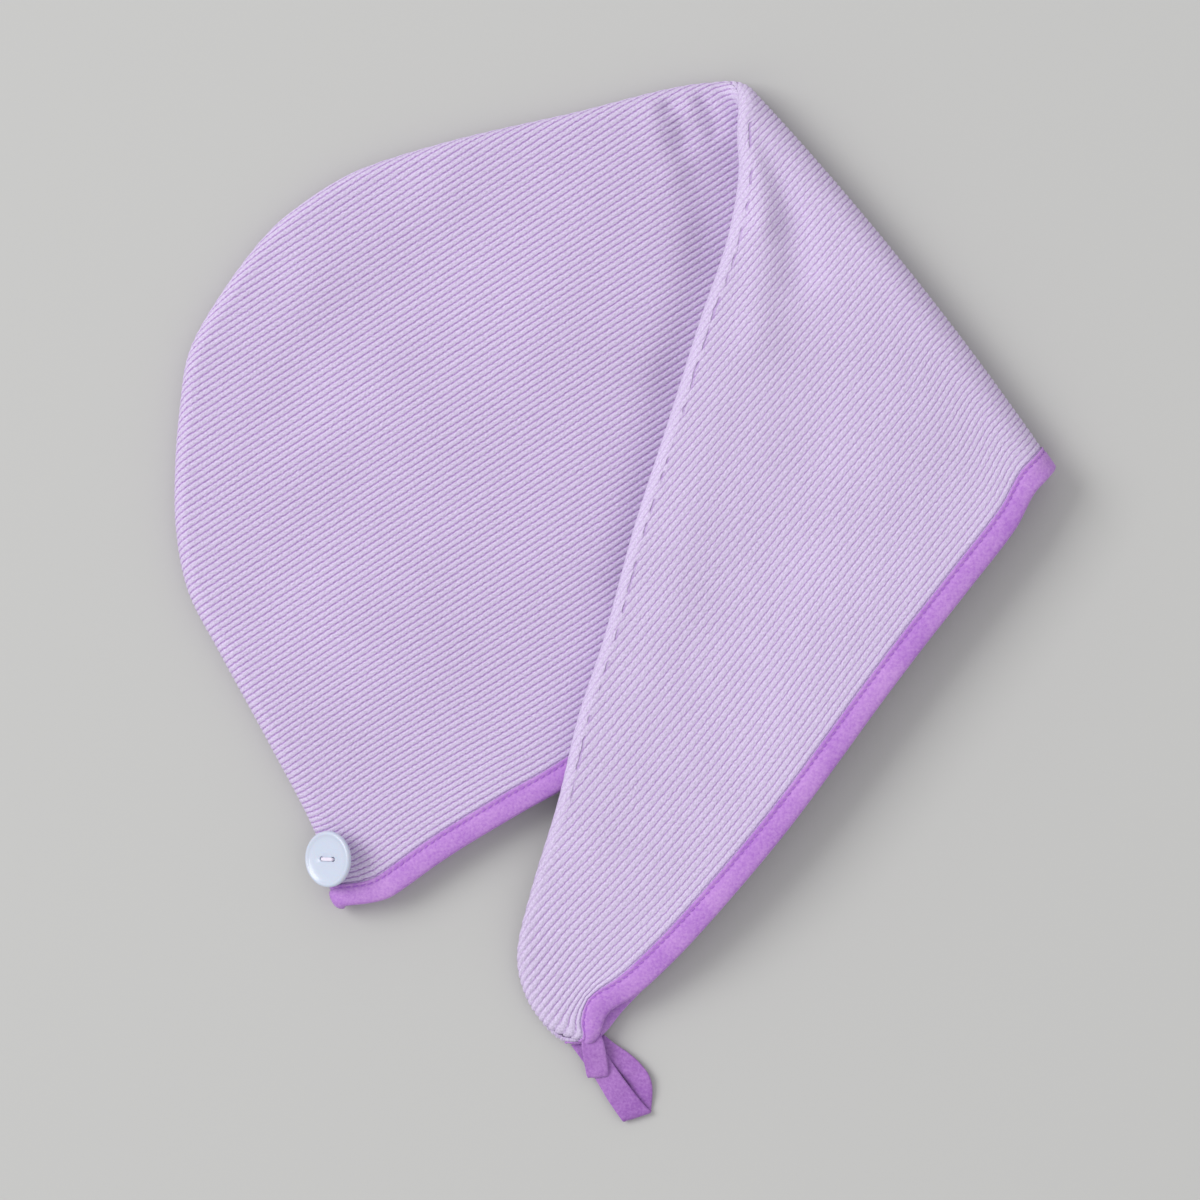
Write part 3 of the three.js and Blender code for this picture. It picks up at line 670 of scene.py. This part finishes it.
# beads of pile: about 1.1 mm along a rib, slanted, drawn a little coarse so that they show
bead_place = node(
    towelling,
    "ShaderNodeMapping",
    {"Vector": out(cloth_place, "Vector"), "Rotation": (0, 0, 0.7), "Scale": (1000, 1700, 1)},
)
beads = node(
    towelling,
    "ShaderNodeTexNoise",
    {"Vector": out(bead_place), "Scale": 1.0, "Detail": 2.0, "Roughness": 0.6},
)
object_place = node(towelling, "ShaderNodeTexCoord")
pile = node(
    towelling,
    "ShaderNodeTexNoise",
    {"Vector": out(object_place, "Object"), "Scale": 2600, "Detail": 2.0},
)
patches = node(
    towelling,
    "ShaderNodeTexNoise",
    {"Vector": out(object_place, "Object"), "Scale": 22, "Detail": 2.0},
)
# faint needle marks of the seam, in broken streaks a few millimetres inside the outline
edge_noise_place = node(
    towelling,
    "ShaderNodeMapping",
    {"Vector": out(edge_place, "Vector"), "Scale": (240, 150, 1)},
)
edge_noise = node(
    towelling,
    "ShaderNodeTexNoise",
    {"Vector": out(edge_noise_place), "Scale": 1.0, "Detail": 1.0},
)
slit_across = maths(towelling, "SUBTRACT", out(edge_parts, "X"), 7.6 * MM)
slit_wander = maths(towelling, "MULTIPLY_ADD", out(edge_noise), 3.0 * MM, -1.5 * MM)
slit_across = maths(towelling, "ADD", slit_across, slit_wander)
slit_line = node(
    towelling,
    "ShaderNodeMapRange",
    {
        "Value": maths(towelling, "ABSOLUTE", slit_across),
        "From Min": 0.7 * MM,
        "From Max": 0.1 * MM,
    },
    interpolation_type="SMOOTHSTEP",
)
slit_spot = node(
    towelling,
    "ShaderNodeMapRange",
    {"Value": out(edge_noise), "From Min": 0.46, "From Max": 0.60},
    interpolation_type="SMOOTHSTEP",
)
seam_shows = node(
    towelling,
    "ShaderNodeMapRange",
    {"Value": out(cloth_parts, "X"), "From Min": 0.90 * TAIL_RUN, "From Max": 0.80 * TAIL_RUN},
)
slits = maths(towelling, "MULTIPLY", out(slit_line), out(slit_spot))
slits = maths(towelling, "MULTIPLY", maths(towelling, "MULTIPLY", slits, on_tail), out(seam_shows))

# the painted groove shade fades where the seam presses the ribs flat; elsewhere it is uneven
band = node(
    towelling,
    "ShaderNodeMapRange",
    {"Value": out(edge_parts, "X"), "From Min": 10 * MM, "From Max": 5 * MM},
)
band_on_tail = maths(towelling, "MULTIPLY", maths(towelling, "MULTIPLY", out(band), on_tail), 0.7)
uneven = node(
    towelling,
    "ShaderNodeMapRange",
    {"Value": out(beads), "From Min": 0.40, "From Max": 0.65, "To Min": 0.0, "To Max": 0.35},
)
fade = maths(towelling, "MAXIMUM", out(uneven), band_on_tail)
# painted shade in the grooves (darker violet) and painted sheen on the crests (pale lilac)
painted_groove_shade = node(
    towelling,
    "ShaderNodeMix",
    {
        "Factor": maths(towelling, "MAXIMUM", out(crest), fade),
        "A": hex_colour("#ae87c9"),
        "B": hex_colour("#d3c5e4"),
    },
    data_type="RGBA",
)
bead_tone = node(
    towelling,
    "ShaderNodeMapRange",
    {"Value": out(beads), "From Min": 0.34, "From Max": 0.66, "To Min": 0.80, "To Max": 1.10},
)
patch_tone = node(
    towelling,
    "ShaderNodeMapRange",
    {"Value": out(patches), "From Min": 0.3, "From Max": 0.7, "To Min": 0.97, "To Max": 1.02},
)
slit_tone = node(
    towelling,
    "ShaderNodeMix",
    {
        "Factor": maths(towelling, "MULTIPLY", slits, 0.45),
        "A": out(painted_groove_shade),
        "B": hex_colour("#a878cc"),
    },
    data_type="RGBA",
)
pile_tone = node(
    towelling,
    "ShaderNodeVectorMath",
    {0: out(slit_tone), "Scale": maths(towelling, "MULTIPLY", out(bead_tone), out(patch_tone))},
    operation="SCALE",
)
height = maths(
    towelling,
    "ADD",
    maths(towelling, "MULTIPLY", out(beads), 0.55),
    maths(towelling, "SUBTRACT", maths(towelling, "MULTIPLY", out(pile), 0.35), slits),
)
pile_bump = node(
    towelling, "ShaderNodeBump", {"Height": height, "Strength": 0.9, "Distance": 0.5 * MM}
)
towelling_shader = node(
    towelling,
    "ShaderNodeBsdfPrincipled",
    {
        "Base Color": out(pile_tone),
        "Roughness": 0.95,
        "IOR": 1.45,
        "Specular IOR Level": 0.15,
        "Sheen Weight": 0.35,
        "Sheen Roughness": 0.45,
        "Sheen Tint": hex_colour("#efe4fb"),
        "Normal": out(pile_bump),
    },
)
node(towelling, "ShaderNodeOutputMaterial", {"Surface": out(towelling_shader)})
for panel in (panel_upper, panel_lower):
    panel.data.materials.append(towelling)
print("towelling has", len(towelling.node_tree.nodes), "nodes")

# %% [markdown]
# ## The binding tape
# A brushed violet tape is folded over each opening edge and sewn down. It is made as a long
# sleeve with an open C section: a grid whose rows run along the edge and whose columns go
# round the tape. The outer side is plump, dips where it is sewn and ends in a thin lip.

# %% Tape finish
tape = new_material("brushed_knit_tape")
tape_place = node(tape, "ShaderNodeTexCoord")
nap = node(
    tape,
    "ShaderNodeTexNoise",
    {"Vector": out(tape_place, "Object"), "Scale": 900, "Detail": 3.0, "Roughness": 0.65},
)
clouds = node(
    tape,
    "ShaderNodeTexNoise",
    {"Vector": out(tape_place, "Object"), "Scale": 60, "Detail": 2.0},
)
nap_mix = maths(
    tape,
    "ADD",
    maths(tape, "MULTIPLY", out(nap), 0.65),
    maths(tape, "MULTIPLY", out(clouds), 0.35),
)
nap_tone = node(
    tape,
    "ShaderNodeMix",
    {
        "Factor": out(
            node(tape, "ShaderNodeMapRange", {"Value": nap_mix, "From Min": 0.35, "From Max": 0.65})
        ),
        "A": hex_colour("#a66fc5"),
        "B": hex_colour("#c293d6"),
    },
    data_type="RGBA",
)
nap_bump = node(
    tape, "ShaderNodeBump", {"Height": out(nap), "Strength": 0.5, "Distance": 0.25 * MM}
)
tape_shader = node(
    tape,
    "ShaderNodeBsdfPrincipled",
    {
        "Base Color": out(nap_tone),
        "Roughness": 0.9,
        "IOR": 1.5,
        "Specular IOR Level": 0.2,
        "Sheen Weight": 0.45,
        "Sheen Roughness": 0.4,
        "Sheen Tint": hex_colour("#e6c8fb"),
        "Normal": out(nap_bump),
    },
)
node(tape, "ShaderNodeOutputMaterial", {"Surface": out(tape_shader)})

# %% Binding shape
# level from the cloth's edge and height from its middle, both in mm: the side that shows,
# then back along the inside of the fold, then the plain side
SECTION = [
    (-1.10, 0.00), (-0.98, 0.80), (-0.62, 1.45), (0.0, 1.85), (1.2, 2.15), (3.0, 2.30),
    (5.0, 2.20), (6.3, 1.90), (7.0, 1.45), (7.4, 1.25), (7.8, 1.50), (8.3, 1.72),
    (8.8, 1.62), (9.1, 1.25), (9.0, 1.00), (5.0, 1.00), (1.0, 1.00), (-0.2, 0.70),
    (-0.2, -0.70), (1.0, -1.00), (5.0, -1.00), (9.0, -1.00), (9.1, -1.25), (8.6, -1.70),
    (6.0, -1.80), (2.0, -1.80), (-0.4, -1.60), (-0.95, -0.90),
]  # fmt: skip
STATION = 1.6 * MM
SEWN_LEVEL = 7.4 * MM


def edge_runs(level, step=STATION):
    """Runs of even stations along a level of the opening edge, from corner to corner."""
    first, last = row_ends(0.0)
    share = np.linspace(0, 1, int((last - first) / step))
    first, last = row_ends(level)
    return first + (last - first) * share


def shown_on_top(side, run):
    """1 where this side of the towel is the one that shows from above."""
    if side > 0:
        return ease((6 * MM - run) / (12 * MM))
    return ease((run - STRIP + 6 * MM) / (12 * MM))


def close_up(thing):
    """Merges doubles, closes the open ends and turns all faces outward."""
    bpy.ops.object.mode_set(mode="EDIT")
    bpy.ops.mesh.select_all(action="SELECT")
    bpy.ops.mesh.remove_doubles(threshold=0.01 * MM)
    bpy.ops.mesh.select_all(action="DESELECT")
    bpy.ops.mesh.select_mode(type="EDGE")
    bpy.ops.mesh.select_non_manifold()
    bpy.ops.mesh.edge_face_add()
    bpy.ops.mesh.select_mode(type="VERT")
    bpy.ops.mesh.select_all(action="SELECT")
    bpy.ops.mesh.normals_make_consistent(inside=False)
    bpy.ops.object.mode_set(mode="OBJECT")


def sleeve(name, rings, material):
    """A closed sleeve through lines of points that run side by side round it."""
    around = np.concatenate([rings, rings[:1]])
    deselect()
    bpy.ops.mesh.primitive_grid_add(
        x_subdivisions=around.shape[1] - 1, y_subdivisions=around.shape[0] - 1, size=1
    )
    made = bpy.context.object
    made.name = made.data.name = name
    made.data.vertices.foreach_set("co", around.reshape(-1, 3).astype(np.float32).ravel())
    close_up(made)
    bpy.ops.object.shade_smooth()
    made.data.materials.append(material)
    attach(made, "root")
    print(name, "has", len(made.data.polygons), "faces")
    return made


def tape_line(side, level, height):
    """One line along a binding, at a level and a height from the cloth's middle."""
    run = edge_runs(level)
    flat = np.sign(height) * min(abs(height), TAPE_HALF)
    lift = flat + (height - flat) * shown_on_top(side, run)
    place = cloth_point(side, run, rib_up(run, level), lift - PANEL / 2) + CENTRE
    return pulled(place, side)


def make_binding(name, side):
    rings = np.stack([tape_line(side, level * MM, height * MM) for level, height in SECTION])
    return sleeve(name, rings, tape)


binding_upper = make_binding("binding_upper", 1)
binding_lower = make_binding("binding_lower", -1)

# %% [markdown]
# ## Stitches
# The tape is sewn through with a violet thread: one short, slightly slanted stitch every
# three millimetres, sunk in the groove beside the lip. One stitch is a small rounded bead of
# thread, drawn out, and it is copied along each tape and joined into one piece for each tape.

# %% Stitching thread
thread_violet = new_material("polyester_thread_violet")
thread_shader = node(
    thread_violet,
    "ShaderNodeBsdfPrincipled",
    {"Base Color": hex_colour("#a965cf"), "Roughness": 0.6, "Sheen Weight": 0.3},
)
twist_place = node(thread_violet, "ShaderNodeTexCoord")
twist = node(
    thread_violet,
    "ShaderNodeTexWave",
    {"Vector": out(twist_place, "Object"), "Scale": 900, "Distortion": 2.0},
)
twist_bump = node(
    thread_violet, "ShaderNodeBump", {"Height": out(twist), "Strength": 0.4, "Distance": 0.1 * MM}
)
thread_violet.node_tree.links.new(out(twist_bump), thread_shader.inputs["Normal"])
node(thread_violet, "ShaderNodeOutputMaterial", {"Surface": out(thread_shader)})

STITCH_PITCH = 3.0 * MM
STITCH_LENGTH = 2.3 * MM
STITCH_THICK = 0.55 * MM


def sew(name, side):
    line = even_steps(tape_line(side, SEWN_LEVEL, 1.42 * MM), STITCH_PITCH)[2:-2]
    lip = even_steps(tape_line(side, SEWN_LEVEL + 1 * MM, 1.42 * MM), 1 * MM)
    deselect()
    bpy.ops.mesh.primitive_uv_sphere_add(segments=8, ring_count=5, radius=0.5)
    first = bpy.context.object
    first.name = first.data.name = name
    bpy.ops.transform.resize(value=(STITCH_LENGTH, STITCH_THICK, STITCH_THICK))
    bpy.ops.object.transform_apply(location=True, rotation=True, scale=True)
    bpy.ops.object.shade_smooth()
    first.data.materials.append(thread_violet)
    copies = []
    for a, b in zip(line, line[1:]):
        ahead = Vector(b - a).normalized()
        to_lip = Vector(lip[np.argmin(np.linalg.norm(lip - a, axis=1))] - a).normalized()
        up = ahead.cross(to_lip).normalized()
        slanted = (ahead + 0.22 * to_lip).normalized()
        place = Matrix((slanted, up.cross(slanted), up)).transposed().to_4x4()
        place.translation = Vector((a + b) / 2)
        copy = first.copy()
        copy.data = first.data.copy()
        copy.data.transform(place)
        bpy.context.scene.collection.objects.link(copy)
        copies.append(copy)
    deselect()
    for copy in copies:
        copy.select_set(True)
    bpy.context.view_layer.objects.active = copies[0]
    bpy.ops.object.join()
    bpy.data.objects.remove(first)
    stitches = bpy.context.object
    stitches.name = stitches.data.name = name
    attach(stitches, "root")
    print(name, "has", len(copies), "stitches")
    return stitches


stitches_upper = sew("stitches_upper", 1)
stitches_lower = sew("stitches_lower", -1)
for binding, solid in (
    (binding_upper, "edge_binding_upper"),
    (binding_lower, "edge_binding_lower"),
):
    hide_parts(solid)

# %% [markdown]
# ## The loop at the tip
# The same tape ends in a loop that hooks over the button. It comes out under a short tab,
# folds over at its far end and returns beneath itself with a twist. Each station of the tape
# has a place, half a width, the way its width points and how much one edge stands up.

# %% Loop
# x, y, z of the middle in mm, half width in mm, width direction in degrees, raised edge in mm
LOOP = [
    (-12.0, -177.0, 2.2, 5.6, 14, 0.0), (-8.6, -182.4, 2.4, 5.2, 12, 0.0),
    (-4.2, -188.6, 2.7, 5.0, 13, 0.0),
    (-0.6, -194.0, 2.8, 5.2, 15, 0.1), (2.6, -198.8, 2.8, 5.5, 16, 0.1),
    (6.2, -203.6, 2.7, 5.8, 17, 0.1), (8.4, -206.3, 2.3, 6.0, 18, 0.1),
    (9.1, -207.2, 1.5, 6.0, 18, 0.1), (9.2, -206.2, 0.8, 5.9, 18, 0.1),
    (10.0, -203.2, 0.8, 5.3, 18, 0.3), (10.8, -198.6, 1.0, 4.8, 20, 0.9),
    (10.2, -193.6, 1.3, 4.7, 26, 1.3), (7.0, -188.6, 1.5, 4.5, 38, 1.2),
    (2.6, -184.2, 1.6, 4.1, 47, 0.8), (-2.2, -180.4, 1.9, 3.6, 50, 0.4),
    (-6.4, -176.6, 2.2, 3.3, 50, 0.0),
]  # fmt: skip
TAB = [
    (-9.4, -171.6, 5.6, 2.6, 14, 0.0), (-9.2, -174.4, 6.6, 3.9, 12, 0.2),
    (-8.6, -178.4, 6.3, 4.6, 9, 0.5), (-7.8, -183.0, 5.2, 4.7, 6, 0.3),
    (-7.1, -187.4, 4.3, 4.6, 4, 0.1), (-6.8, -190.0, 3.7, 4.4, 4, 0.0),
    (-6.7, -190.8, 3.2, 4.2, 4, 0.0),
]  # fmt: skip
# across in shares of the half width, height in mm: a folded tape with one sewn edge
TAPE_SECTION = [
    (-1.0, 0.0), (-0.96, 0.36), (-0.86, 0.52), (-0.72, 0.38), (-0.55, 0.58), (-0.2, 0.66),
    (0.2, 0.66), (0.6, 0.60), (0.86, 0.52), (0.97, 0.32), (1.0, 0.0), (0.95, -0.36),
    (0.7, -0.5), (0.2, -0.5), (-0.3, -0.5), (-0.8, -0.5), (-0.96, -0.3),
]  # fmt: skip


def make_tape_piece(name, table, material, thick=1.0, waves=0.0):
    line = even_steps(smooth_line(table), 0.9)
    middle, half, angle, raised = line[:, :3], line[:, 3], np.radians(line[:, 4]), line[:, 5]
    wide = np.stack([np.cos(angle) * half, np.sin(angle) * half, raised], -1)
    ahead = np.gradient(middle, axis=0)
    up = np.cross(wide, -ahead)
    up /= np.linalg.norm(up, axis=1)[:, None]
    along = np.arange(len(middle))
    rings = []
    for across, height in TAPE_SECTION:
        ripple = waves * np.sin(along * 0.55 + across * 1.7) * (1 - across**2 * 0.4)
        rings.append(middle + wide * across + up * (height * thick + ripple)[:, None])
    rings = np.stack(rings) * MM
    rings[..., 2] = np.maximum(rings[..., 2], 0.05 * MM)  # flat where it lies on the floor
    return sleeve(name, rings, material)


# a darker copy of the same knit: painted shade on the loop and its tab
tape_painted_darker = tape.copy()
tape_painted_darker.name = "brushed_knit_tape_painted_shade"
for put in tape_painted_darker.node_tree.nodes[nap_tone.name].inputs:
    if put.type == "RGBA":
        put.default_value = hex_colour({"A": "#935fae", "B": "#b080c6"}[put.name])
loop = make_tape_piece("loop", LOOP, tape_painted_darker, waves=0.12)
tab = make_tape_piece("loop_tab", TAB, tape_painted_darker, thick=1.2, waves=0.10)
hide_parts("tip_loop")

# %% [markdown]
# ## The button
# A two-hole button of pressed polyester resin: a flat face, a thin rounded rim and a smooth
# gloss. It is drawn up from a filled circle by extruding and scaling ring after ring, and
# the holes are cut with Boolean. The thread that holds it is three short strands.

# %% Button
BUTTON_RADIUS = 11.3 * MM
BUTTON_HALF = 1.7 * MM
BUTTON_TILT = math.radians(35)
HOLE_APART = 5.7 * MM
HOLE_WIDE = 2.0 * MM
# radius in shares of the button's, height in shares of half its thickness
BUTTON_RINGS = [
    (0.72, -1.0), (0.86, -0.92), (0.95, -0.66), (0.99, -0.30), (1.00, 0.05), (0.99, 0.42),
    (0.965, 0.68), (0.93, 0.82), (0.89, 0.84), (0.85, 0.74), (0.81, 0.60), (0.76, 0.52),
    (0.60, 0.48), (0.30, 0.46),
]  # fmt: skip


def make_button():
    deselect()
    share, height = BUTTON_RINGS[0]
    bpy.ops.mesh.primitive_circle_add(
        vertices=72,
        radius=BUTTON_RADIUS * share,
        fill_type="NGON",
        location=(0, 0, height * BUTTON_HALF),
    )
    bpy.ops.object.transform_apply(location=True, rotation=False, scale=False)
    button = bpy.context.object
    button.name = button.data.name = "button_face"
    bpy.ops.object.mode_set(mode="EDIT")
    bpy.ops.mesh.select_all(action="SELECT")
    for (old, low), (new, high) in zip(BUTTON_RINGS, BUTTON_RINGS[1:]):
        bpy.ops.mesh.extrude_region_move(
            TRANSFORM_OT_translate={"value": (0, 0, (high - low) * BUTTON_HALF)}
        )
        bpy.ops.transform.resize(value=(new / old, new / old, 1))
    bpy.ops.mesh.select_all(action="SELECT")
    bpy.ops.mesh.normals_make_consistent(inside=False)
    bpy.ops.object.mode_set(mode="OBJECT")
    for x in (-HOLE_APART / 2, HOLE_APART / 2):
        deselect()
        bpy.ops.mesh.primitive_cylinder_add(
            vertices=32, radius=HOLE_WIDE / 2, depth=BUTTON_HALF * 8, location=(x, 0, 0)
        )
        drill = bpy.context.object
        deselect()
        button.select_set(True)
        bpy.context.view_layer.objects.active = button
        cut = button.modifiers.new("hole", "BOOLEAN")
        cut.object = drill
        cut.solver = "EXACT"
        bpy.ops.object.modifier_apply(modifier=cut.name)
        bpy.data.objects.remove(drill)
    edges = button.modifiers.new("soft_edges", "BEVEL")
    edges.width = 0.18 * MM
    edges.segments = 2
    edges.limit_method = "ANGLE"
    edges.angle_limit = math.radians(60)
    bpy.ops.object.modifier_apply(modifier=edges.name)
    bpy.ops.object.shade_smooth_by_angle(angle=math.radians(50))
    return button


button = make_button()
box_low, box_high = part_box("button")
button_place = Matrix.Translation((box_low + box_high) / 2 + Vector((-0.0014, 0.0008, 0)))
button_place = button_place @ Matrix.Rotation(-BUTTON_TILT, 4, "Y")
button.data.transform(button_place)
resin = new_material("polyester_resin_pale")
resin_shader = node(
    resin,
    "ShaderNodeBsdfPrincipled",
    {
        "Base Color": hex_colour("#c0c7d9"),
        "Roughness": 0.28,
        "IOR": 1.53,
        "Subsurface Weight": 0.08,
        "Coat Weight": 0.25,
        "Coat Roughness": 0.12,
    },
)
resin_place = node(resin, "ShaderNodeTexCoord")
haze = node(resin, "ShaderNodeTexNoise", {"Vector": out(resin_place, "Object"), "Scale": 320})
haze_bump = node(
    resin, "ShaderNodeBump", {"Height": out(haze), "Strength": 0.08, "Distance": 0.1 * MM}
)
resin.node_tree.links.new(out(haze_bump), resin_shader.inputs["Normal"])
node(resin, "ShaderNodeOutputMaterial", {"Surface": out(resin_shader)})
button.data.materials.append(resin)
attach(button, "root")
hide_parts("button")

# %% Button thread
thread_pale = new_material("polyester_thread_pale")
pale_shader = node(
    thread_pale,
    "ShaderNodeBsdfPrincipled",
    {"Base Color": hex_colour("#e6deef"), "Roughness": 0.55, "Sheen Weight": 0.3},
)
pale_place = node(thread_pale, "ShaderNodeTexCoord")
pale_twist = node(
    thread_pale,
    "ShaderNodeTexWave",
    {"Vector": out(pale_place, "Object"), "Scale": 1200, "Distortion": 1.5},
)
pale_bump = node(
    thread_pale,
    "ShaderNodeBump",
    {"Height": out(pale_twist), "Strength": 0.4, "Distance": 0.1 * MM},
)
thread_pale.node_tree.links.new(out(pale_bump), pale_shader.inputs["Normal"])
node(thread_pale, "ShaderNodeOutputMaterial", {"Surface": out(pale_shader)})


def strand_rings(path, radius, sides=8):
    """Lines round a strand that follows a path in the plane of x and z."""
    path = even_steps(smooth_line(path), 0.25 * MM)
    ahead = np.gradient(path, axis=0)
    ahead /= np.linalg.norm(ahead, axis=1)[:, None]
    aside = np.array([0, 1.0, 0])
    up = np.cross(ahead, aside)
    turns = np.linspace(0, 2 * np.pi, sides, endpoint=False)
    return np.stack([path + radius * (np.cos(t) * aside + np.sin(t) * up) for t in turns])


def make_button_thread():
    reach, under, top = HOLE_APART / 2, -BUTTON_HALF * 1.2, BUTTON_HALF * 0.46 + 0.55 * MM
    strands = []
    for y in (-0.42 * MM, 0.0, 0.42 * MM):
        path = [
            (-reach * 0.35, y, -5.3 * MM), (-reach * 0.9, y * 0.5, under), (-reach, y * 0.5, 0),
            (-reach * 0.92, y * 0.8, top - 0.25 * MM), (-reach * 0.5, y, top),
            (0, y, top + 0.06 * MM), (reach * 0.5, y, top),
            (reach * 0.92, y * 0.8, top - 0.25 * MM), (reach, y * 0.5, 0),
            (reach * 0.9, y * 0.5, under), (reach * 0.35, y, -6.3 * MM),
        ]  # fmt: skip
        strand = sleeve("button_thread_strand", strand_rings(path, 0.28 * MM), thread_pale)
        strands.append(strand)
    deselect()
    for strand in strands:
        strand.select_set(True)
    bpy.context.view_layer.objects.active = strands[0]
    bpy.ops.object.join()
    thread = bpy.context.object
    thread.name = thread.data.name = "button_sewing"
    thread.data.transform(button_place)
    return thread


button_sewing = make_button_thread()
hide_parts("button_thread")
